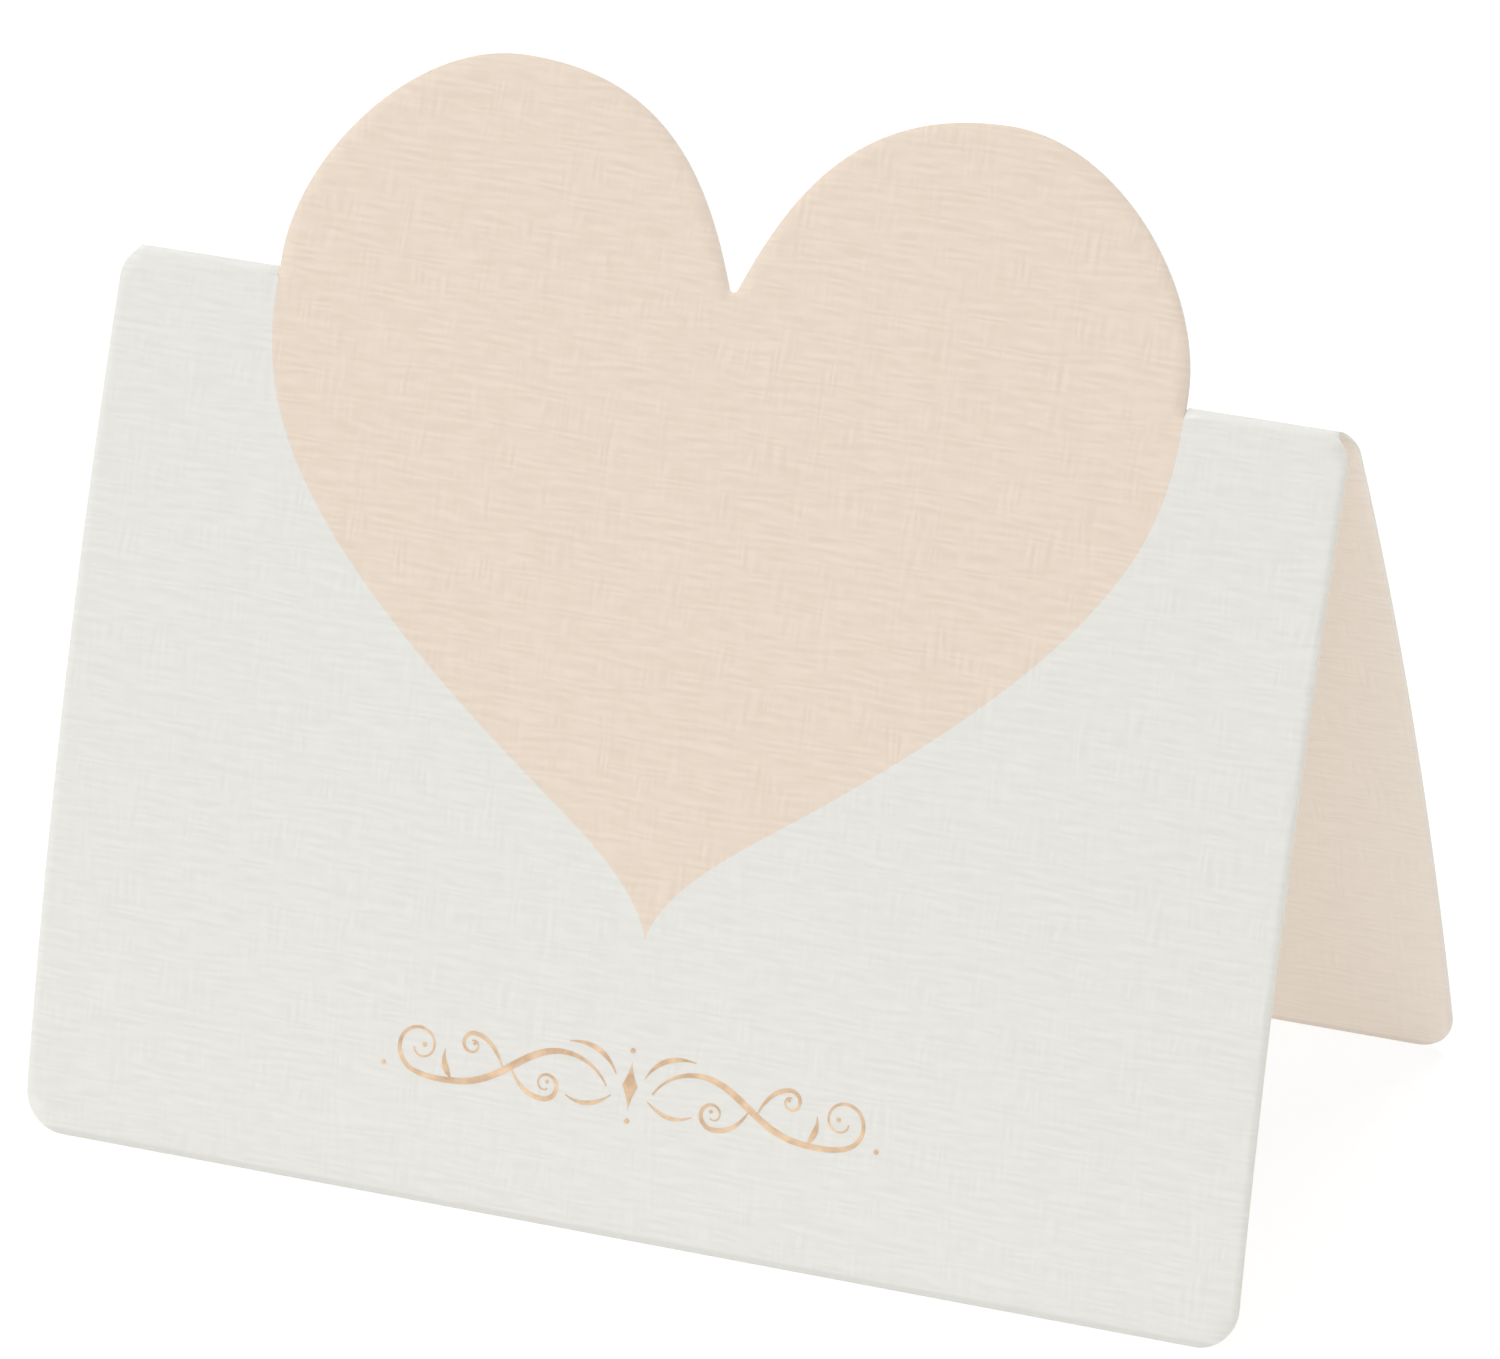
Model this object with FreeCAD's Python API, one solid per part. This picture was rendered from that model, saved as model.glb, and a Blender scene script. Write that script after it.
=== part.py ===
import FreeCAD, Part
import math
import os

from FreeCAD import Vector

# A folded greeting card that stands like a tent, with its two bottom edges on the table.
# It is one sheet of card. A heart is printed across the front. Its two lobes are cut free
# where they pass the fold, so they stay in line with the front and stand up above the fold,
# and the back panel keeps the opening that they came out of.
# The row frame: X runs along the fold, -Y is the front, Z is up.
# The origin is on the table, midway between the two bottom edges.

# Driving sizes of the sheet, in millimetres and degrees
card_width = 100.0
panel_length = 69.5        # from the middle of the fold to a bottom edge, along the sheet
sheet_thickness = 0.4
fold_radius = 0.9          # of the outside of the fold
corner_radius = 3.2        # of the bottom corners
fold_corner_radius = 2.2   # of the corners at the ends of the fold
corner_rise = 0.05         # how far the rounding at the fold starts above the top of the fold

# Driving sizes of the pose: how far the sheet is open, and how each panel bulges outwards
opening_angle = 54.3       # between the two panels, at the fold
front_bow = 12.3           # turn of the front from the fold to its bottom edge
back_bow = 12.1

# Driving sizes of the heart, measured from its middle line and from the middle of the fold
heart_width = 73.8
lobe_spacing = 39.4        # between the tops of the two lobes
lobe_height = 18.85
cleft_height = 3.4
cleft_radius = 0.4
cleft_slope = 69.0         # of the cleft's sides
waist_width = 23.4         # where the sides turn from bulging to hollow
waist_depth = 34.7
waist_slope = 36.0
tip_depth = 46.1
tip_slope = 75.0

# Lengths of the curve handles, which set how full each stretch of the heart is
cleft_handle = 8.5
lobe_inner_handle = 11.8
lobe_outer_handle = 8.9
shoulder_handle = 8.2
flank_handle = 8.1
flank_low_handle = 29.6
waist_handle = 5.9
tip_handle = 4.5

# Worked out from the sizes above
half_thickness = sheet_thickness / 2
fold_mid_radius = fold_radius - half_thickness
fold_turn = math.radians(180.0 - opening_angle)
half_fold = fold_mid_radius * fold_turn / 2      # along the sheet, from the fold's middle
flank_length = panel_length - half_fold          # of a panel below the fold's round
half_opening = math.radians(opening_angle / 2)

FRONT = -1
BACK = 1
bow = {FRONT: math.radians(front_bow), BACK: math.radians(back_bow)}


def rotated(y, z, angle):
    """A point of the side view, turned about the fold's centre."""
    return y * math.cos(angle) - z * math.sin(angle), y * math.sin(angle) + z * math.cos(angle)


def untilted(side, distance, offset):
    """A point of a panel before the card is set down: distance along the sheet, offset outwards."""
    bow_radius = flank_length / bow[side]
    turned = half_opening - distance / bow_radius
    start = fold_mid_radius - bow_radius
    out = bow_radius + offset
    y = start * math.cos(half_opening) + out * math.cos(turned)
    z = start * math.sin(half_opening) + out * math.sin(turned)
    return side * y, z


# The card is set down on both bottom edges: turned until they are level, then moved to the origin
front_foot = untilted(FRONT, flank_length, 0)
back_foot = untilted(BACK, flank_length, 0)
tilt = -math.atan2(back_foot[1] - front_foot[1], back_foot[0] - front_foot[0])
level_front = rotated(*front_foot, tilt)
level_back = rotated(*back_foot, tilt)
fold_centre = Vector(0, -(level_front[0] + level_back[0]) / 2, -level_front[1])


def placed(y, z):
    """A point of the side view, in the row frame."""
    return fold_centre + Vector(0, *rotated(y, z, tilt))


def on_panel(side, distance, offset):
    """A point of a panel, in the row frame."""
    return placed(*untilted(side, distance, offset))


def on_fold(angle, radius):
    """A point of the fold's round, at an angle from its middle towards the back."""
    return placed(radius * math.sin(angle), radius * math.cos(angle))


def swept(edges):
    """The solid of a closed side view, as wide as the card."""
    solid = Part.Face(Part.Wire(edges)).extrude(Vector(card_width, 0, 0))
    solid.translate(Vector(-card_width / 2, 0, 0))
    return solid


def panel_band(side):
    """One bulging panel, still square and a little long, from the fold's round downwards."""
    end = flank_length + sheet_thickness
    outer = [on_panel(side, end * share, half_thickness) for share in (0, 0.5, 1)]
    inner = [on_panel(side, end * share, -half_thickness) for share in (0, 0.5, 1)]
    return swept([
        Part.Arc(*outer).toShape(),
        Part.LineSegment(outer[2], inner[2]).toShape(),
        Part.Arc(*inner).toShape(),
        Part.LineSegment(inner[0], outer[0]).toShape(),
    ])


def fold_band():
    """The round of the fold, across the whole card."""
    ends = (-fold_turn / 2, 0, fold_turn / 2)
    inner_radius = fold_radius - sheet_thickness
    outer = [on_fold(angle, fold_radius) for angle in ends]
    inner = [on_fold(angle, inner_radius) for angle in ends]
    return swept([
        Part.Arc(*outer).toShape(),
        Part.LineSegment(outer[2], inner[2]).toShape(),
        Part.Arc(*inner).toShape(),
        Part.LineSegment(inner[0], outer[0]).toShape(),
    ])


def corner_cutter(right, up, corner, radius):
    """What the rounding takes off one corner of the closed card, right through both panels."""
    centre = corner - Vector(right * radius, 0, up * radius)
    diagonal = radius * math.sqrt(0.5)
    beside = centre + Vector(right * radius, 0, 0)
    above = centre + Vector(0, 0, up * radius)
    past = Vector(right * radius, 0, up * radius)
    outline = Part.Wire([
        Part.Arc(beside, centre + Vector(right * diagonal, 0, up * diagonal), above).toShape(),
        Part.makePolygon([above, above + Vector(0, 0, past.z), corner + past,
                          beside + Vector(past.x, 0, 0), beside]),
    ])
    depth = 2 * panel_length
    cutter = Part.Face(outline).extrude(Vector(0, depth, 0))
    cutter.translate(Vector(0, -depth / 2, 0))
    return cutter


def corner_cutters():
    top = fold_centre.z + fold_radius + corner_rise
    cutters = []
    for right in (-1, 1):
        side = right * card_width / 2
        cutters.append(corner_cutter(right, 1, Vector(side, 0, top), fold_corner_radius))
        cutters.append(corner_cutter(right, -1, Vector(side, 0, 0), corner_radius))
    return cutters


def below_table():
    """All that lies under the table's surface, which trims the bottom edges to rest flat."""
    return Part.makeBox(2 * card_width, 4 * panel_length, panel_length,
                        Vector(-card_width, -2 * panel_length, -panel_length))


def curve(start, start_handle, end_handle, end):
    """A smooth stretch of outline that leaves and arrives along its two handles."""
    edge = Part.BezierCurve()
    edge.setPoles([start, start + start_handle, end - end_handle, end])
    return edge.toShape()


def towards(length, degrees):
    """A step across the sheet, at an angle from the fold's direction."""
    angle = math.radians(degrees)
    return Vector(length * math.cos(angle), length * math.sin(angle), 0)


def mirrored(edges):
    """The same edges on the left of the heart's middle line."""
    return [edge.mirror(Vector(0, 0, 0), Vector(1, 0, 0)) for edge in edges]


def lobes_outline():
    """The heart's upper outline on the flat sheet, closed along the lower rim of the fold."""
    bottom = Vector(0, cleft_height, 0)
    slope = math.radians(cleft_slope)
    centre = bottom + Vector(0, cleft_radius, 0)
    rim = [centre + Vector(cleft_radius * math.sin(a), -cleft_radius * math.cos(a), 0)
           for a in (0, slope / 2, slope)]
    lobe_top = Vector(lobe_spacing / 2, lobe_height, 0)
    shoulder = Vector(heart_width / 2, half_fold, 0)
    side_end = Vector(heart_width / 2, -half_fold, 0)
    right = [
        Part.Arc(*rim).toShape(),
        curve(rim[2], towards(cleft_handle, cleft_slope), Vector(lobe_inner_handle, 0, 0), lobe_top),
        curve(lobe_top, Vector(lobe_outer_handle, 0, 0), Vector(0, -shoulder_handle, 0), shoulder),
        Part.LineSegment(shoulder, side_end).toShape(),
    ]
    base = Part.LineSegment(side_end, Vector(-side_end.x, side_end.y, 0)).toShape()
    return closed_face(right + [base] + mirrored(right))


def tail_outline():
    """The heart's lower outline on the flat sheet, closed along the upper rim of the fold."""
    side_start = Vector(heart_width / 2, half_fold, 0)
    flank = Vector(heart_width / 2, -half_fold, 0)
    waist = Vector(waist_width / 2, -waist_depth, 0)
    tip = Vector(0, -tip_depth, 0)
    inwards = 180.0
    right = [
        Part.LineSegment(side_start, flank).toShape(),
        curve(flank, Vector(0, -flank_handle, 0),
              towards(flank_low_handle, inwards + waist_slope), waist),
        curve(waist, towards(waist_handle, inwards + waist_slope),
              towards(tip_handle, inwards + tip_slope), tip),
    ]
    base = Part.LineSegment(side_start, Vector(-side_start.x, side_start.y, 0)).toShape()
    return closed_face(right + [base] + mirrored(right))


def closed_face(edges):
    return Part.Face(Part.Wire(Part.__sortEdges__(edges)))


def laid_on(side, face, offset, depth):
    """A flat outline laid on a panel's tangent plane at the fold, and made that deep outwards."""
    start = on_panel(side, 0, offset)
    outwards = (on_panel(side, 0, offset + 1) - start).normalize()
    # the way the flat sheet runs on, up the front, over the fold and down the back
    onwards = Vector(0, outwards.z, -outwards.y)
    laid = face.copy()
    laid.translate(Vector(0, -side * half_fold, 0))
    turn = FreeCAD.Rotation(Vector(1, 0, 0), onwards, outwards, "XYZ")
    laid.Placement = FreeCAD.Placement(start, turn).multiply(laid.Placement)
    return laid.extrude(outwards * depth)


def card():
    """The whole sheet. The heart's tail is fused in as an outline, and the lobes stay cut free."""
    corners = corner_cutters()
    table = below_table()
    reach = panel_length / 4        # of a heart-shaped cutter, to each side of its panel

    front = panel_band(FRONT).cut(corners + [table])
    tail = laid_on(FRONT, tail_outline(), -reach, 2 * reach)
    front_tail = front.common(tail)
    front_rest = front.cut(tail)
    lobes = laid_on(FRONT, lobes_outline(), -half_thickness, sheet_thickness)

    around = 2 * fold_radius
    gap = Part.makeBox(heart_width, 2 * around, 2 * around,
                       fold_centre - Vector(heart_width / 2, around, around))
    fold = fold_band().cut(corners + [gap])

    window = laid_on(BACK, lobes_outline(), -reach, 2 * reach)
    back = panel_band(BACK).cut(corners + [table, window])
    return front_rest.fuse([front_tail, lobes, fold, back])


def main():
    os.makedirs("parts", exist_ok=True)
    shape = card()
    shape.exportStep("parts/card.step")
    box = shape.BoundBox
    print("solids", len(shape.Solids), "valid", shape.isValid(), "faces", len(shape.Faces))
    print("volume", round(shape.Volume, 2), "area", round(shape.Area, 2))
    print("box", [round(v, 3) for v in (box.XMin, box.XMax, box.YMin, box.YMax, box.ZMin, box.ZMax)])


main()
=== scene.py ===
import math

import bmesh
import bpy
import numpy as np
from mathutils import Matrix, Vector
from mathutils.geometry import delaunay_2d_cdt


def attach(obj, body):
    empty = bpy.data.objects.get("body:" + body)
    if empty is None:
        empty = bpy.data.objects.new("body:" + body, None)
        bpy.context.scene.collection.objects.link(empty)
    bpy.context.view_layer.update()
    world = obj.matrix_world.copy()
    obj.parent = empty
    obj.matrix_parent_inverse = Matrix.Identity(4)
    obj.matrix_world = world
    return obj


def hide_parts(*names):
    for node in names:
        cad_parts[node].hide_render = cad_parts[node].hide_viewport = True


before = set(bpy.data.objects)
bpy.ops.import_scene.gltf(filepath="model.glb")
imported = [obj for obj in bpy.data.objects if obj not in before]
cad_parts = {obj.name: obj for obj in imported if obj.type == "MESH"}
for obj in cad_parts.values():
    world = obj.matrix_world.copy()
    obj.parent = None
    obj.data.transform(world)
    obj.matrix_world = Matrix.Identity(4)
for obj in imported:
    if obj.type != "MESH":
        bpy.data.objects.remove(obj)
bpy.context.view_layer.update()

# Lengths are in metres, and those of the sheet are written in millimetres
MM = 0.001

# The sheet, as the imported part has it
card_width = 100.0 * MM
panel_length = 69.5 * MM         # from the middle of the fold to a bottom edge, along the sheet
sheet_thickness = 0.4 * MM
fold_radius = 0.9 * MM           # of the outside of the fold
corner_radius = 3.2 * MM         # of the bottom corners
fold_corner_radius = 2.2 * MM    # of the corners at the ends of the fold
corner_rise = 0.05 * MM
opening_angle = math.radians(54.3)
front_bow = math.radians(12.3)
back_bow = math.radians(12.1)

# The heart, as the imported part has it, from its middle line and from the middle of the fold
heart_width = 73.8 * MM
lobe_spacing = 39.4 * MM
lobe_height = 18.85 * MM
cleft_height = 3.4 * MM
cleft_radius = 0.4 * MM
cleft_slope = math.radians(69.0)
waist_width = 23.4 * MM
waist_depth = 34.7 * MM
waist_slope = math.radians(36.0)
tip_depth = 46.1 * MM
tip_slope = math.radians(75.0)
cleft_handle = 8.5 * MM
lobe_inner_handle = 11.8 * MM
lobe_outer_handle = 8.9 * MM
shoulder_handle = 8.2 * MM
flank_handle = 8.1 * MM
flank_low_handle = 29.6 * MM
waist_handle = 5.9 * MM
tip_handle = 4.5 * MM

# How finely the sheet is meshed
surface_step = 1.25 * MM
heart_step = 0.1 * MM            # the least distance between two points of the heart's outline
fold_rows = 17
corner_steps = 14
curve_steps = 48
station_steps = 4000             # along a panel, to look up where the sheet has a height
place_steps = 800                # along the front, to look up where a height lies on the sheet
sharp_angle = math.radians(50)   # the shading breaks at edges sharper than this
edge_round = 0.05 * MM           # the rounding that a cutting die leaves along each edge
panel_gap = 0.3 * surface_step   # kept free between an outline and the rows of points on a panel
fold_gap = 0.04 * surface_step   # and round the fold, where the rows lie closer
cut_slack = 0.001 * MM           # points this near to the line where the cut ends count as on it

# Worked out from the sizes above
half_thickness = sheet_thickness / 2
fold_mid_radius = fold_radius - half_thickness
half_fold = fold_mid_radius * (math.pi - opening_angle) / 2
flank_length = panel_length - half_fold
half_opening = opening_angle / 2
FRONT, BACK = -1, 1
bow = {FRONT: front_bow, BACK: back_bow}


# The sheet's place in space, from a point on the flat sheet

def rotated(y, z, angle):
    return y * math.cos(angle) - z * math.sin(angle), y * math.sin(angle) + z * math.cos(angle)


def untilted(side, distance, offset):
    """Points of a panel before the card is set down on both bottom edges."""
    bow_radius = flank_length / bow[side]
    turned = half_opening - distance / bow_radius
    start = fold_mid_radius - bow_radius
    out = bow_radius + offset
    y = start * math.cos(half_opening) + out * np.cos(turned)
    z = start * math.sin(half_opening) + out * np.sin(turned)
    return side * y, z


def set_down():
    """The turn that brings both bottom edges to the table, and the fold's centre after it."""
    front_y, front_z = untilted(FRONT, flank_length, 0)
    back_y, back_z = untilted(BACK, flank_length, 0)
    turn = -math.atan2(back_z - front_z, back_y - front_y)
    level_front = rotated(front_y, front_z, turn)
    level_back = rotated(back_y, back_z, turn)
    return turn, -(level_front[0] + level_back[0]) / 2, -level_front[1]


tilt, fold_y, fold_z = set_down()


def placed(y, z):
    y, z = rotated(y, z, tilt)
    return fold_y + y, fold_z + z


def on_sheet(across, along, offset, lobe):
    """Places points of the flat sheet in space.

    across runs along the fold, along runs up the front, over the fold and down the back, and
    offset is towards the outside. Where lobe is true, the sheet goes straight on past the fold.
    """
    across, along, offset = np.broadcast_arrays(*(np.asarray(v, float) for v in (across, along, offset)))
    front_y, front_z = placed(*untilted(FRONT, np.maximum(-along - half_fold, 0), offset))
    back_y, back_z = placed(*untilted(BACK, np.maximum(along - half_fold, 0), offset))
    angle = along / fold_mid_radius
    radius = fold_mid_radius + offset
    round_y, round_z = placed(radius * np.sin(angle), radius * np.cos(angle))
    outward = rotated(-math.cos(half_opening), math.sin(half_opening), tilt)
    past = np.maximum(along + half_fold, 0)
    straight_y = front_y + outward[1] * past
    straight_z = front_z - outward[0] * past
    y = np.where(along < -half_fold, front_y, np.where(along > half_fold, back_y, round_y))
    z = np.where(along < -half_fold, front_z, np.where(along > half_fold, back_z, round_z))
    y = np.where(lobe, straight_y, y)
    z = np.where(lobe, straight_z, z)
    return np.stack([across, y, np.maximum(z, 0)], -1)


# Outlines on the flat sheet

def bezier(*poles, steps=80):
    """Points of a smooth stretch with four poles."""
    a, b, c, d = (np.array(p) for p in poles)
    t = np.linspace(0, 1, steps)[:, None]
    return (1 - t) ** 3 * a + 3 * (1 - t) ** 2 * t * b + 3 * (1 - t) * t ** 2 * c + t ** 3 * d


def curve(start, start_handle, end_handle, end):
    """A smooth stretch that leaves and arrives along its two handles."""
    start, end = np.array(start), np.array(end)
    return bezier(start, start + start_handle, end - end_handle, end, steps=curve_steps)


def towards(length, angle):
    return np.array([length * math.cos(angle), length * math.sin(angle)])


def heart_right_side():
    """The heart's outline from the middle of the cleft round the right to the tip."""
    turn = np.linspace(0, cleft_slope, corner_steps)
    rim = np.stack([cleft_radius * np.sin(turn),
                    cleft_height + cleft_radius * (1 - np.cos(turn))], -1)
    lobe_top = (lobe_spacing / 2, lobe_height)
    shoulder = (heart_width / 2, half_fold)
    flank = (heart_width / 2, -half_fold)
    waist = (waist_width / 2, -waist_depth)
    tip = (0, -tip_depth)
    crease = np.stack([np.full(fold_rows, heart_width / 2),
                       np.linspace(half_fold, -half_fold, fold_rows)], -1)
    parts = [
        rim,
        curve(rim[-1], towards(cleft_handle, cleft_slope), (lobe_inner_handle, 0), lobe_top),
        curve(lobe_top, (lobe_outer_handle, 0), (0, -shoulder_handle), shoulder),
        crease,
        curve(flank, (0, -flank_handle), towards(flank_low_handle, math.pi + waist_slope), waist),
        curve(waist, towards(waist_handle, math.pi + waist_slope),
              towards(tip_handle, math.pi + tip_slope), tip),
    ]
    return np.vstack([parts[0]] + [p[1:] for p in parts[1:]])


def heart_outline():
    right = heart_right_side()
    left = right[-2:0:-1] * (-1, 1)
    return np.vstack([right, left])


def side_limit(along):
    """How far the sheet reaches to each side, with its corners rounded as if cut when closed."""
    height = on_sheet(0, along, 0, False)[..., 2]
    top = fold_z + fold_radius + corner_rise
    inset = 0
    for radius, depth in ((fold_corner_radius, top - height), (corner_radius, height)):
        into = np.clip(radius - depth, 0, radius)
        inset = np.maximum(inset, radius - np.sqrt(radius ** 2 - into ** 2))
    return card_width / 2 - inset


def outline_stations():
    """Places along the sheet's right edge, from the front's bottom edge to the back's."""
    dense = np.linspace(0, panel_length, station_steps)
    turn = np.linspace(0, math.pi / 2, corner_steps)
    stations = []
    for side in (FRONT, BACK):
        height = on_sheet(0, side * dense, 0, False)[:, 2]
        low = corner_radius * (1 - np.cos(turn))
        top = height[0] - fold_corner_radius * (1 - np.sin(turn[1:-1]))
        straight = np.linspace(low[-1], top[0], int(height[0] / surface_step))[1:-1]
        heights = np.concatenate([low, straight, top])
        reached = side * np.interp(heights, height[::-1], dense[::-1])
        reached = reached[np.abs(reached) > half_fold]
        stations.append(reached if side == FRONT else reached[::-1])
    fold = np.linspace(-half_fold, half_fold, fold_rows)
    return np.concatenate([stations[0], fold, stations[1]])


def sheet_outline():
    stations = outline_stations()
    right = np.stack([side_limit(stations), stations], -1)
    left = right[::-1] * (-1, 1)
    return np.vstack([right, left])


def evenly(points, step):
    """A closed outline's points without those that lie nearer together than a step."""
    kept = [points[0]]
    for point in points[1:]:
        if np.hypot(*(point - kept[-1])) > step:
            kept.append(point)
    return np.array(kept)


def inside(points, outline):
    """Which points lie inside a closed outline."""
    x, y = points[:, 0], points[:, 1]
    found = np.zeros(len(points), bool)
    for a, b in zip(outline, np.roll(outline, -1, axis=0)):
        crosses = (a[1] > y) != (b[1] > y)
        if crosses.any():
            at = a[0] + (y - a[1]) * (b[0] - a[0]) / (b[1] - a[1] + 1e-30)
            found ^= crosses & (x < at)
    return found


def far_from(points, outline, gap):
    """Which points lie further than a gap from every stretch of a closed outline."""
    far = np.ones(len(points), bool)
    for a, b in zip(outline, np.roll(outline, -1, axis=0)):
        step = b - a
        t = np.clip((points - a) @ step / max(step @ step, 1e-30), 0, 1)
        far &= np.hypot(*(points - a - t[:, None] * step).T) > gap
    return far


# The sheet's mesh

def inner_points(outline, heart):
    """The points between the outlines: even rows on the panels and close ones round the fold."""
    across = np.arange(-card_width / 2, card_width / 2, surface_step) + surface_step / 2
    rows = np.arange(half_fold + surface_step / 2, panel_length, surface_step)
    fold = np.linspace(-half_fold, half_fold, fold_rows)
    found = []
    for along, gap in ((np.concatenate([-rows[::-1], rows]), panel_gap), (fold, fold_gap)):
        grid = np.stack(np.meshgrid(across, along), -1).reshape(-1, 2)
        grid = grid[np.abs(grid[:, 0]) < side_limit(grid[:, 1])]
        grid = grid[far_from(grid, outline, gap) & far_from(grid, heart, gap)]
        found.append(grid)
    return np.vstack(found)


def flat_triangles():
    """Triangles of the flat sheet that follow its outline and the heart's."""
    outline = sheet_outline()
    heart = evenly(heart_outline(), heart_step)
    middle = inner_points(outline, heart)
    points = np.vstack([outline, heart, middle])
    loops, first = [], 0
    for loop in (outline, heart):
        ids = first + np.arange(len(loop))
        loops += list(zip(ids.tolist(), np.roll(ids, -1).tolist()))
        first += len(loop)
    every_triangle = 0
    same_point = 1e-5            # in millimetres
    made = delaunay_2d_cdt([Vector(p) for p in points / MM], loops, [], every_triangle, same_point)
    points = np.array([tuple(v) for v in made[0]]) * MM
    faces = np.array([tuple(f) for f in made[2]])
    faces = faces[inside(points[faces].mean(axis=1), outline)]
    a, b, c = (points[faces[:, i]] for i in range(3))
    turn = (b - a)[:, 0] * (c - a)[:, 1] - (b - a)[:, 1] * (c - a)[:, 0]
    faces[turn < 0] = faces[turn < 0][:, ::-1]
    in_heart = inside(points[faces].mean(axis=1), heart)
    return points, faces, in_heart


def split_along_cut(points, faces, in_heart):
    """Gives the lobes points of their own, so that the cut round them opens."""
    lobe_face = in_heart & (points[faces].mean(axis=1)[:, 1] > -half_fold)
    beyond = points[:, 1] > -half_fold + cut_slack
    keys = faces * 2 + (lobe_face[:, None] & beyond[faces])
    used, places = np.unique(keys, return_inverse=True)
    return points[used // 2], places.reshape(faces.shape), (used % 2).astype(bool)


def rim_of(faces):
    """The directed edges that have a face on one side only."""
    edges = np.vstack([faces[:, [0, 1]], faces[:, [1, 2]], faces[:, [2, 0]]])
    owner = np.tile(np.arange(len(faces)), 3)
    low, high = edges.min(axis=1), edges.max(axis=1)
    code = low * (faces.max() + 1) + high
    _, where, count = np.unique(code, return_inverse=True, return_counts=True)
    alone = count[where] == 1
    return edges[alone], owner[alone]


def drawn_in(points, rim):
    """The points with those on the rim moved inwards by the edge's rounding."""
    inwards = np.zeros_like(points)
    step = points[rim[:, 1]] - points[rim[:, 0]]
    length = np.hypot(*step.T)[:, None]
    normal = np.stack([-step[:, 1], step[:, 0]], -1) / np.maximum(length, 1e-12)
    np.add.at(inwards, rim[:, 0], normal)
    np.add.at(inwards, rim[:, 1], normal)
    size = np.hypot(*inwards.T)[:, None]
    least = 0.2                  # only points on the rim have more
    return points + np.where(size > least, inwards / np.maximum(size, least), 0) * edge_round


OUTSIDE, PRINT, INSIDE, CORE = range(4)

# The layout of the sheet's surfaces on one square, for textures that hold the finished colours
layout_gap = 1.0 * MM
edge_cell = (0.8 * MM, 0.6 * MM)
edge_cell_share = 0.8            # of a cell, which its stretch of cut edge fills


def lay_out(mesh, plan, face_count, rim_count):
    """Lays the outside flat, the inside turned over beside it, and the cut edge in rows above them."""
    corners = np.zeros(len(mesh.loops), np.int32)
    mesh.loops.foreach_get("vertex_index", corners)
    place = plan[corners] + (card_width / 2, panel_length)
    sizes = [3 * face_count, 3 * face_count, 4 * rim_count, 4 * rim_count, 4 * rim_count]
    _, inner, _, core, inner_rim = np.split(np.arange(len(corners)), np.cumsum(sizes)[:-1])
    for turned_over in (inner, inner_rim):
        place[turned_over, 0] = 2 * card_width + layout_gap - place[turned_over, 0]

    in_row = int(2 * card_width / edge_cell[0])
    row, column = np.divmod(np.arange(rim_count), in_row)
    quad = np.array([(1, 1), (0, 1), (0, 0), (1, 0)]) * edge_cell_share
    cells = (np.stack([column, row], -1)[:, None] + quad) * edge_cell
    place[core] = cells.reshape(-1, 2) + (0, 2 * panel_length + layout_gap)

    layer = mesh.uv_layers.new(name="OFBake", do_init=False)
    square = 2 * card_width + 3 * layout_gap
    layer.uv.foreach_set("vector", ((place + layout_gap) / square).ravel())


def card_mesh():
    """The whole sheet: its two faces, and a rounded rim along every cut."""
    points, faces, in_heart = flat_triangles()
    points, faces, lobe = split_along_cut(points, faces, in_heart)
    rim, owner = rim_of(faces)
    count = len(points)
    surface = drawn_in(points, rim)
    rim_ids = np.unique(rim)
    ring = np.full(count, -1)
    ring[rim_ids] = np.arange(len(rim_ids))

    flat = points[rim_ids]
    layers = [
        (surface, half_thickness, lobe),
        (surface, -half_thickness, lobe),
        (flat, half_thickness - edge_round, lobe[rim_ids]),
        (flat, -half_thickness + edge_round, lobe[rim_ids]),
    ]
    verts = np.vstack([on_sheet(p[:, 0], p[:, 1], o, on_lobe) for p, o, on_lobe in layers])
    sheet_place = np.vstack([np.column_stack([p, np.full(len(p), o)]) for p, o, _ in layers])

    outer_ring = 2 * count + ring
    inner_ring = 2 * count + len(rim_ids) + ring
    a, b = rim.T
    strips = [
        np.column_stack([b, a, outer_ring[a], outer_ring[b]]),
        np.column_stack([outer_ring[b], outer_ring[a], inner_ring[a], inner_ring[b]]),
        np.column_stack([inner_ring[b], inner_ring[a], a + count, b + count]),
    ]
    outer_slot = np.where(in_heart, PRINT, OUTSIDE)
    polygons = faces.tolist() + (faces[:, ::-1] + count).tolist() + np.vstack(strips).tolist()
    slots = np.concatenate([
        outer_slot,
        np.full(len(faces), INSIDE),
        outer_slot[owner],
        np.full(len(rim), CORE),
        np.full(len(rim), INSIDE),
    ])
    mesh = bpy.data.meshes.new("card_sheet")
    mesh.from_pydata(verts.tolist(), [], polygons)
    mesh.polygons.foreach_set("material_index", slots.astype(np.int32))
    place = mesh.attributes.new("sheet_place", "FLOAT_VECTOR", "POINT")
    place.data.foreach_set("vector", (sheet_place / MM).ravel())
    lay_out(mesh, sheet_place[:, :2], len(faces), len(rim))
    mesh.shade_smooth()
    mesh.set_sharp_from_angle(angle=sharp_angle)
    mesh.update()
    return mesh


# Materials

def srgb(red, green, blue):
    """A colour as the eye names it, in 0 to 255, turned into the linear values that shaders take."""
    def linear(value):
        value /= 255
        return value / 12.92 if value <= 0.04045 else ((value + 0.055) / 1.055) ** 2.4
    return linear(red), linear(green), linear(blue), 1.0


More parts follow.
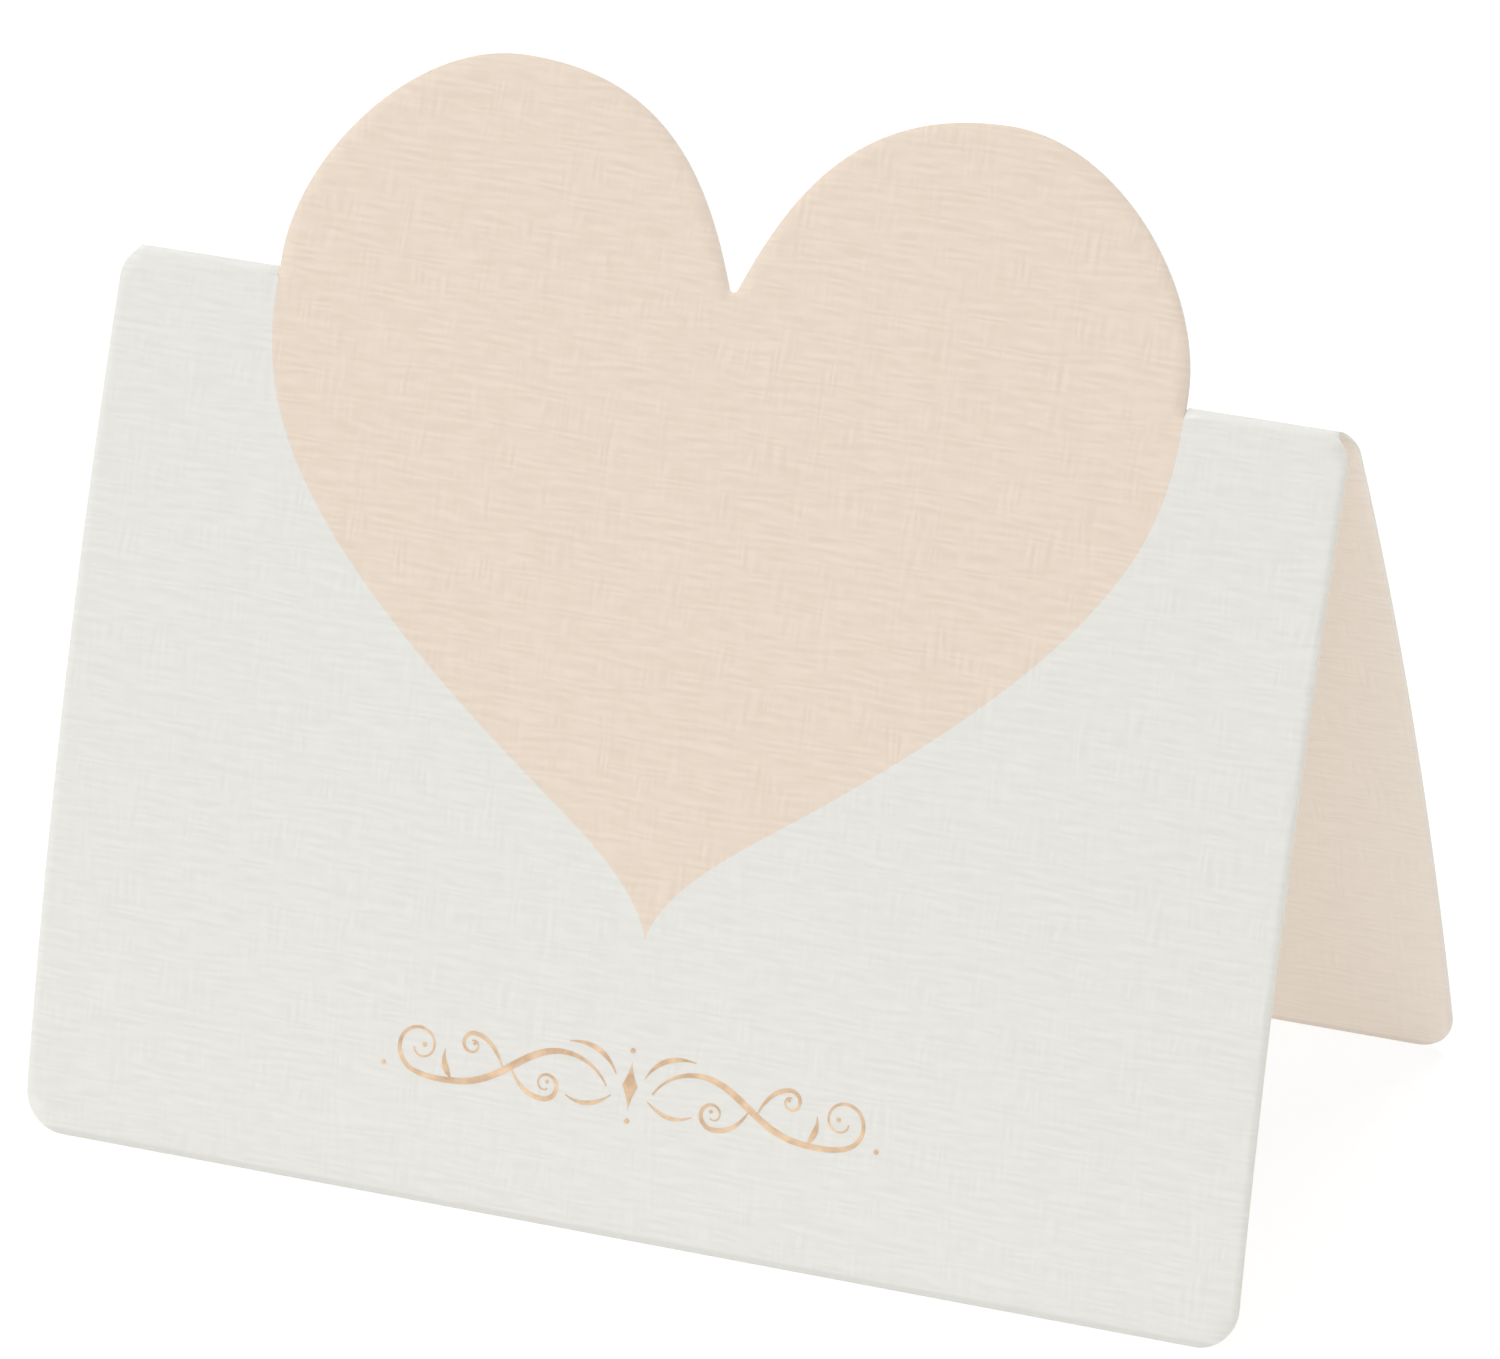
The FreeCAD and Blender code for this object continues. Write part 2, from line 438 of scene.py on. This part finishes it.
class Nodes:
    """A material's node tree, with short calls for the nodes used here."""

    def __init__(self, name):
        self.material = bpy.data.materials.new(name)
        self.material.use_nodes = True
        self.tree = self.material.node_tree
        self.shader = self.tree.nodes["Principled BSDF"]

    def add(self, kind, **settings):
        node = self.tree.nodes.new(kind)
        for key, value in settings.items():
            setattr(node, key, value)
        return node

    def link(self, source, target):
        self.tree.links.new(source, target)

    def put(self, value, socket):
        if isinstance(value, bpy.types.NodeSocket):
            self.link(value, socket)
        else:
            socket.default_value = value

    def math(self, operation, first, second=0.0):
        node = self.add("ShaderNodeMath", operation=operation)
        self.put(first, node.inputs[0])
        self.put(second, node.inputs[1])
        return node.outputs[0]

    def scaled(self, vector, scale):
        node = self.add("ShaderNodeVectorMath", operation="MULTIPLY")
        self.link(vector, node.inputs[0])
        node.inputs[1].default_value = scale
        return node.outputs[0]

    def noise(self, vector, scale=1.0, detail=2.0, roughness=0.5):
        node = self.add("ShaderNodeTexNoise", noise_dimensions="3D")
        self.link(vector, node.inputs["Vector"])
        node.inputs["Scale"].default_value = scale
        node.inputs["Detail"].default_value = detail
        node.inputs["Roughness"].default_value = roughness
        return node.outputs[0]

    def mixed(self, factor, first, second):
        node = self.add("ShaderNodeMix", data_type="RGBA")
        self.put(factor, node.inputs["Factor"])
        self.put(first, node.inputs["A"])
        self.put(second, node.inputs["B"])
        return node.outputs["Result"]

    def sheet_place(self):
        """Where a point lies on the flat sheet, in millimetres: across, along and towards the outside."""
        return self.add("ShaderNodeAttribute", attribute_name="sheet_place").outputs["Vector"]

    def relief(self, height, strength, distance):
        """Gives the surface fine relief from a height that the nodes work out."""
        bump = self.add("ShaderNodeBump")
        bump.inputs["Strength"].default_value = strength
        bump.inputs["Distance"].default_value = distance
        self.link(height, bump.inputs["Height"])
        self.link(bump.outputs[0], self.shader.inputs["Normal"])

    def between(self, value, low, high, out_low=0.0, out_high=1.0):
        node = self.add("ShaderNodeMapRange")
        self.put(value, node.inputs["Value"])
        ends = {"From Min": low, "From Max": high, "To Min": out_low, "To Max": out_high}
        for key, number in ends.items():
            node.inputs[key].default_value = number
        return node.outputs["Result"]


# The linen embossing, in millimetres on the flat sheet
weft_pitch = 0.68
warp_pitch = 0.72
slub_length = 2.4
wander_length = 11.0
patch_size = 3.2

# How deep the relief of the linen and of the cut edge's fibres is
linen_relief = 0.02 * MM
fibre_relief = 0.01 * MM

# The painted contact shade along the two bottom edges, in millimetres on the flat sheet
shaded_edge_width = 0.6
shaded_edge_fade = 0.25
shaded_edge_depth = 0.93                # its brightness, as a share of the card's darker tone


def threads(nodes, place, run, pitch, stretch):
    """Rise and fall of one set of uneven threads, which swell and fade along their length.

    run is the coordinate that crosses the threads. stretch lays out a noise's scale, first along the
    threads and then across them.
    """
    wander = nodes.noise(nodes.scaled(place, stretch(1 / wander_length, 0.6)), detail=1.0)
    moved = nodes.math("ADD", run, nodes.math("MULTIPLY", wander, 3.0 * pitch))
    wave = nodes.math("SINE", nodes.math("MULTIPLY", moved, 2 * math.pi / pitch))
    slub = nodes.noise(nodes.scaled(place, stretch(1 / slub_length, 0.5 / pitch)),
                       detail=2.0, roughness=0.55)
    thread = nodes.math("MULTIPLY", nodes.between(slub, 0.4, 0.66, 0.0, 0.42), wave)
    streak = nodes.noise(nodes.scaled(place, stretch(0.9 / slub_length, 1.25 / pitch)), detail=1.0)
    return nodes.math("ADD", thread, nodes.between(streak, 0.3, 0.7, -0.25, 0.25))


def linen(nodes, place):
    """Height of the embossed linen, about 0.5 on average: two crossing sets, each strong in patches."""
    split = nodes.add("ShaderNodeSeparateXYZ")
    nodes.link(place, split.inputs[0])
    across, along = split.outputs[0], split.outputs[1]
    weft = threads(nodes, place, along, weft_pitch, lambda far, near: (far, near, 0.0))
    warp = threads(nodes, place, across, warp_pitch, lambda far, near: (near, far, 0.0))
    patch = nodes.noise(nodes.scaled(place, (1 / patch_size, 1 / patch_size, 0.0)), detail=1.0)
    warp_share = nodes.between(patch, 0.48, 0.64, 0.14, 0.9)
    weft_share = nodes.between(patch, 0.5, 0.7, 1.0, 0.5)
    crossed = nodes.math("ADD", nodes.math("MULTIPLY", weft, weft_share),
                         nodes.math("MULTIPLY", warp, warp_share))
    return nodes.math("ADD", crossed, 0.5)


def painted_contact_shade(nodes, place):
    """How much a point belongs to the painted contact shade along the edge that the card stands on."""
    split = nodes.add("ShaderNodeSeparateXYZ")
    nodes.link(place, split.inputs[0])
    along = nodes.math("ABSOLUTE", split.outputs[1])
    begins = panel_length / MM - shaded_edge_width
    return nodes.between(along, begins, begins + shaded_edge_fade)


def card_finish(name, colour, shade, roughness):
    """Linen-embossed card, printed or plain: soft mottle, painted shade in the hollows, relief, and
    painted contact shade along the bottom edges.
    """
    nodes = Nodes(name)
    place = nodes.sheet_place()
    height = linen(nodes, place)
    grain = nodes.noise(place, scale=6.0, detail=3.0, roughness=0.6)
    mottle = nodes.noise(place, scale=0.07, detail=2.0)
    # painted shade: the linen's hollows are darkened in the colour, on top of the bump's own shading
    hollow_shade = nodes.between(height, 0.1, 0.9, 1.0, 0.0)
    tone = nodes.math("ADD", nodes.math("MULTIPLY", hollow_shade, 0.85), nodes.math("MULTIPLY", mottle, 0.15))
    # painted shade: the bottom edges are darkened in the colour, standing for the contact shadow at the
    # table
    contact_shade_colour = [value * shaded_edge_depth for value in shade[:3]] + [1.0]
    shaded_tone = nodes.mixed(tone, colour, shade)
    nodes.link(nodes.mixed(painted_contact_shade(nodes, place), shaded_tone, contact_shade_colour), nodes.shader.inputs["Base Color"])
    nodes.link(nodes.between(grain, 0.2, 0.8, roughness - 0.06, roughness + 0.06),
               nodes.shader.inputs["Roughness"])
    nodes.shader.inputs["Specular IOR Level"].default_value = 0.35
    rough = nodes.math("ADD", height, nodes.math("MULTIPLY", grain, 0.35))
    nodes.relief(rough, 1.0, linen_relief)
    return nodes.material


def core_finish():
    """The cut edge, where the pressed fibres of the card show."""
    nodes = Nodes("card_core")
    place = nodes.sheet_place()
    fibres = nodes.noise(nodes.scaled(place, (2.0, 2.0, 14.0)), detail=3.0)
    nodes.link(nodes.mixed(fibres, srgb(246, 243, 232), srgb(228, 224, 208)),
               nodes.shader.inputs["Base Color"])
    nodes.shader.inputs["Roughness"].default_value = 0.9
    nodes.shader.inputs["Specular IOR Level"].default_value = 0.2
    nodes.relief(fibres, 1.0, fibre_relief)
    return nodes.material


def make_card():
    card = bpy.data.objects.new("card_sheet", card_mesh())
    bpy.context.scene.collection.objects.link(card)
    for material in (
        card_finish("card_outside", srgb(240, 239, 234), srgb(233, 232, 226), 0.75),
        card_finish("card_print", srgb(243, 227, 211), srgb(234, 217, 200), 0.72),
        card_finish("card_inside", srgb(244, 235, 225), srgb(238, 229, 218), 0.72),
        core_finish(),
    ):
        card.data.materials.append(material)
    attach(card, "root")
    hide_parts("card")
    return card


# The foil ornament below the heart: scrolls that mirror each other

flourish_depth = 57.5 * MM       # of its middle, below the middle of the fold
stroke_step = 0.07 * MM
foil_lift = 0.018 * MM           # of the foil's face above the card
foil_sink = 0.012 * MM           # of its underside below the card's face
foil_bevel = 0.012 * MM
foil_layer = 0.0015 * MM         # how much each stroke lies above the one before, where they cross
thinnest_stroke = 0.03 * MM


def curl(centre, start_radius, end_radius, start_angle, turns):
    """Points of a spiral that winds in; turns below zero wind clockwise."""
    t = np.linspace(0, 1, 160)
    angle = math.radians(start_angle) + 2 * math.pi * turns * t
    radius = start_radius + (end_radius - start_radius) * t ** 0.9
    return np.array(centre) + np.stack([radius * np.cos(angle), radius * np.sin(angle)], -1)


def swelling(thin, thick, peak=0.5):
    """A pen stroke's width: thin at both ends and thick at its peak."""
    def width(t):
        shape = np.where(t < peak, t / peak, (1 - t) / (1 - peak))
        return thin + (thick - thin) * np.sin(0.5 * math.pi * shape) ** 1.5
    return width


def round_dot(t):
    return 2 * np.sqrt(np.maximum(t * (1 - t), 0))


def lozenge(t):
    return (1 - np.abs(2 * t - 1)) ** 1.5


def flourish_strokes():
    """The right half's strokes and those on the middle line: points in millimetres, and widths."""
    vine = np.vstack([
        bezier((1.9, -0.35), (3.0, 1.5), (5.4, 2.3), (7.6, 1.25)),
        bezier((7.6, 1.25), (9.8, 0.2), (11.2, -1.75), (14.2, -2.05))[1:],
        bezier((14.2, -2.05), (15.2, -2.15), (16.4, -2.2), (17.5, -1.9))[1:],
        curl((17.35, 0.2), 2.1, 0.55, -86, 1.2)[1:],
    ])
    under_curl = np.vstack([
        bezier((9.9, -0.1), (9.2, -1.5), (8.3, -2.25), (6.9, -2.2)),
        curl((6.9, -1.05), 1.15, 0.35, -90, -1.1)[1:],
    ])
    over_curl = np.vstack([
        bezier((10.4, -0.6), (11.0, 0.9), (11.9, 1.9), (13.1, 1.9)),
        curl((13.1, 1.0), 0.9, 0.3, 90, -1.05)[1:],
    ])
    inner_sweep = bezier((1.2, 0.75), (2.0, 2.4), (3.6, 2.95), (5.2, 2.65))
    lower_sweep = bezier((1.5, -0.95), (2.6, -1.9), (3.9, -2.3), (5.2, -1.55))
    tail_leaf = bezier((14.6, -2.05), (15.2, -1.3), (15.5, -0.6), (15.3, 0.3))
    right = [
        (vine, swelling(0.16, 0.56, 0.3)),
        (under_curl, swelling(0.12, 0.4, 0.35)),
        (over_curl, swelling(0.12, 0.36, 0.35)),
        (inner_sweep, swelling(0.1, 0.42)),
        (lower_sweep, swelling(0.1, 0.36)),
        (tail_leaf, swelling(0.06, 0.5, 0.4)),
    ]
    right += [
        dot((17.05, 0.32), 0.4),
        dot((6.75, -0.83), 0.32),
        dot((12.95, 1.1), 0.28),
        dot((20.3, -1.6), 0.42),
    ]
    middle = [
        (np.array([(0, -1.9), (0, 1.9)]), lambda t: 1.25 * lozenge(t)),
        dot((0, 2.75), 0.42),
        dot((0, -2.75), 0.42),
    ]
    return right, middle


def dot(place, size):
    x, y = place
    return np.array([(x - size / 2, y), (x + size / 2, y)]), lambda t: size * round_dot(t)


def evenly_spaced(path, step):
    """A path's points at even steps, with how far along each one is from 0 to 1."""
    run = np.concatenate([[0], np.cumsum(np.hypot(*np.diff(path, axis=0).T))])
    at = np.linspace(0, run[-1], max(int(run[-1] / step), 8) + 1)
    return np.stack([np.interp(at, run, path[:, i]) for i in range(2)], -1), at / run[-1]


def stroke_solid(shape, path, width_of, mirror, lift):
    """Adds one stroke as a thin closed band that follows the front."""
    path, share = evenly_spaced(path * MM, stroke_step)
    half_width = np.maximum(width_of(share) * MM, thinnest_stroke)[:, None] / 2
    ahead = np.gradient(path, axis=0)
    ahead /= np.hypot(*ahead.T)[:, None]
    beside = np.stack([-ahead[:, 1], ahead[:, 0]], -1)
    rings = []
    for side, inset, offset in ((1, 0, -foil_sink), (1, foil_bevel, lift),
                                (-1, foil_bevel, lift), (-1, 0, -foil_sink)):
        flat = path + side * beside * np.maximum(half_width - inset, thinnest_stroke / 10)
        rings.append(on_sheet(mirror * flat[:, 0], flat[:, 1] - flourish_depth,
                              half_thickness + offset, False))
    verts = [[shape.verts.new(p) for p in ring] for ring in zip(*rings)]
    for here, there in zip(verts, verts[1:]):
        for i in range(4):
            shape.faces.new((here[i], here[i - 1], there[i - 1], there[i]))
    shape.faces.new(verts[0])
    shape.faces.new(verts[-1][::-1])


def foil_finish():
    """Hot-stamped foil over the linen: soft metal that the threads and the press leave uneven."""
    nodes = Nodes("rose_foil")
    place = nodes.sheet_place()
    height = linen(nodes, place)
    wear = nodes.noise(place, scale=3.5, detail=3.0, roughness=0.6)
    flow = nodes.between(nodes.noise(place, scale=0.8, detail=1.0), 0.3, 0.7)
    tone = nodes.math("ADD", nodes.math("MULTIPLY", wear, 0.4), nodes.math("MULTIPLY", flow, 0.6))
    nodes.link(nodes.mixed(tone, srgb(246, 218, 186), srgb(196, 164, 133)),
               nodes.shader.inputs["Base Color"])
    nodes.link(nodes.between(wear, 0.3, 0.7, 0.28, 0.46), nodes.shader.inputs["Roughness"])
    nodes.shader.inputs["Metallic"].default_value = 1.0
    uneven = nodes.math("ADD", height, nodes.math("MULTIPLY", wear, 0.5))
    nodes.relief(uneven, 0.8, linen_relief)
    return nodes.material


def make_flourish():
    shape = bmesh.new()
    right, middle = flourish_strokes()
    level = foil_lift
    for path, width_of in right:
        for mirror in (1, -1):
            stroke_solid(shape, path, width_of, mirror, level)
        level += foil_layer
    for path, width_of in middle:
        stroke_solid(shape, path, width_of, 1, level)
    bmesh.ops.recalc_face_normals(shape, faces=shape.faces)
    mesh = bpy.data.meshes.new("foil_flourish")
    shape.to_mesh(mesh)
    shape.free()
    flourish = bpy.data.objects.new("foil_flourish", mesh)
    bpy.context.scene.collection.objects.link(flourish)
    give_sheet_place(mesh)
    mesh.materials.append(foil_finish())
    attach(flourish, "root")
    return flourish


def give_sheet_place(mesh):
    """Marks where each point of a piece on the front lies on the flat sheet, in millimetres."""
    points = np.zeros(len(mesh.vertices) * 3)
    mesh.vertices.foreach_get("co", points)
    points = points.reshape(-1, 3)
    along = -np.linspace(0, panel_length, place_steps)
    line = on_sheet(0, along, half_thickness, False)
    found = np.interp(-points[:, 2], -line[:, 2], along)
    values = np.column_stack([points[:, 0], found, np.full(len(points), half_thickness)]) / MM
    place = mesh.attributes.new("sheet_place", "FLOAT_VECTOR", "POINT")
    place.data.foreach_set("vector", values.ravel())


# Stage, light and camera

lamp_aim = 35.0 * MM             # the height that the lamps look at


def area_light(name, azimuth, elevation, distance, size, power):
    """A round soft light, at angles in degrees: its azimuth turns from the front to the right."""
    azimuth, elevation = math.radians(azimuth), math.radians(elevation)
    light = bpy.data.lights.new(name, "AREA")
    light.shape = "DISK"
    light.size = size
    light.energy = power
    lamp = bpy.data.objects.new(name, light)
    target = Vector((0, 0, lamp_aim))
    towards_lamp = Vector((math.sin(azimuth) * math.cos(elevation),
                           -math.cos(azimuth) * math.cos(elevation), math.sin(elevation)))
    lamp.location = target + towards_lamp * distance
    lamp.rotation_mode = "QUATERNION"
    lamp.rotation_quaternion = (-towards_lamp).to_track_quat("-Z", "Y")
    bpy.context.scene.collection.objects.link(lamp)
    return lamp


# How bright each light is
world_strength = 0.4
table_strength = 0.37            # of the light that the white table sends back up
side_power = 21.5
top_power = 10.5
rear_power = 22.0

floor_reach = 3.0                # in metres, to each side
floor_drop = 0.02 * MM           # below the card's bottom edges
floor_glow = 0.7                 # how much of the floor's look is plain white
glow_strength = 1.0


def seen_directly(tree):
    """One where the camera, or a mirror or glass on its behalf, looks straight at a surface."""
    path = tree.nodes.new("ShaderNodeLightPath")
    total = path.outputs["Is Camera Ray"]
    for name in ("Is Glossy Ray", "Is Transmission Ray"):
        largest = tree.nodes.new("ShaderNodeMath")
        largest.operation = "MAXIMUM"
        tree.links.new(total, largest.inputs[0])
        tree.links.new(path.outputs[name], largest.inputs[1])
        total = largest.outputs[0]
    return total


def make_floor():
    mesh = bpy.data.meshes.new("floor")
    r = floor_reach
    mesh.from_pydata([(-r, -r, 0), (r, -r, 0), (r, r, 0), (-r, r, 0)], [], [(0, 1, 2, 3)])
    floor = bpy.data.objects.new("floor", mesh)
    floor.location.z = -floor_drop
    bpy.context.scene.collection.objects.link(floor)
    nodes = Nodes("floor_white")
    nodes.shader.inputs["Base Color"].default_value = (0.93, 0.93, 0.93, 1)
    nodes.shader.inputs["Roughness"].default_value = 0.9
    nodes.shader.inputs["Specular IOR Level"].default_value = 0.1
    nodes.shader.inputs["Emission Color"].default_value = (1, 1, 1, 1)
    nodes.shader.inputs["Emission Strength"].default_value = table_strength
    glow = nodes.add("ShaderNodeEmission")
    glow.inputs["Strength"].default_value = glow_strength
    blend = nodes.add("ShaderNodeMixShader")
    nodes.link(nodes.math("MULTIPLY", seen_directly(nodes.tree), floor_glow), blend.inputs[0])
    nodes.link(nodes.shader.outputs[0], blend.inputs[1])
    nodes.link(glow.outputs[0], blend.inputs[2])
    nodes.link(blend.outputs[0], nodes.tree.nodes["Material Output"].inputs["Surface"])
    mesh.materials.append(nodes.material)


def light_scene():
    world = bpy.data.worlds.new("studio")
    bpy.context.scene.world = world
    world.use_nodes = True
    tree = world.node_tree
    around = tree.nodes["Background"]
    around.inputs["Color"].default_value = (1, 1, 1, 1)
    around.inputs["Strength"].default_value = world_strength
    backdrop = tree.nodes.new("ShaderNodeBackground")
    backdrop.inputs["Color"].default_value = (1, 1, 1, 1)
    backdrop.inputs["Strength"].default_value = 1.0
    blend = tree.nodes.new("ShaderNodeMixShader")
    tree.links.new(seen_directly(tree), blend.inputs[0])
    tree.links.new(around.outputs[0], blend.inputs[1])
    tree.links.new(backdrop.outputs[0], blend.inputs[2])
    tree.links.new(blend.outputs[0], tree.nodes["World Output"].inputs["Surface"])
    area_light("side_light", -75, 15, 3.0, 1.6, side_power)
    area_light("top_light", -30, 65, 2.0, 1.2, top_power)
    area_light("rear_light", 170, 70, 2.5, 1.5, rear_power)


# The camera, from matching the card's outlines in the photograph
image_width = 1500
camera_azimuth = math.radians(22.79)
camera_elevation = math.radians(26.68)
camera_roll = math.radians(-1.14)
camera_distance = 830.7 * MM
focal_pixels = 10869.1
aim_across = 1.16 * MM
aim_up = -3.87 * MM
aim_height = 40.0 * MM


def make_camera():
    data = bpy.data.cameras.new("camera")
    camera = bpy.data.objects.new("camera", data)
    bpy.context.scene.collection.objects.link(camera)
    sin_a, cos_a = math.sin(camera_azimuth), math.cos(camera_azimuth)
    sin_e, cos_e = math.sin(camera_elevation), math.cos(camera_elevation)
    back = Vector((sin_a * cos_e, -cos_a * cos_e, sin_e))
    right = Vector((cos_a, sin_a, 0))
    up = back.cross(right)
    target = right * aim_across + up * aim_up + Vector((0, 0, aim_height))
    place = target + back * camera_distance
    rolled_right = right * math.cos(camera_roll) + up * math.sin(camera_roll)
    rolled_up = up * math.cos(camera_roll) - right * math.sin(camera_roll)
    turn = Matrix((rolled_right, rolled_up, back)).transposed()
    camera.matrix_world = Matrix.Translation(place) @ turn.to_4x4()
    data.sensor_fit = "HORIZONTAL"
    data.sensor_width = 36.0
    data.lens = focal_pixels / image_width * data.sensor_width
    data.clip_start = 0.05
    data.clip_end = 20.0
    bpy.context.scene.camera = camera


make_card()
make_flourish()
make_floor()
light_scene()
make_camera()
bpy.context.scene.view_settings.view_transform = "Standard"
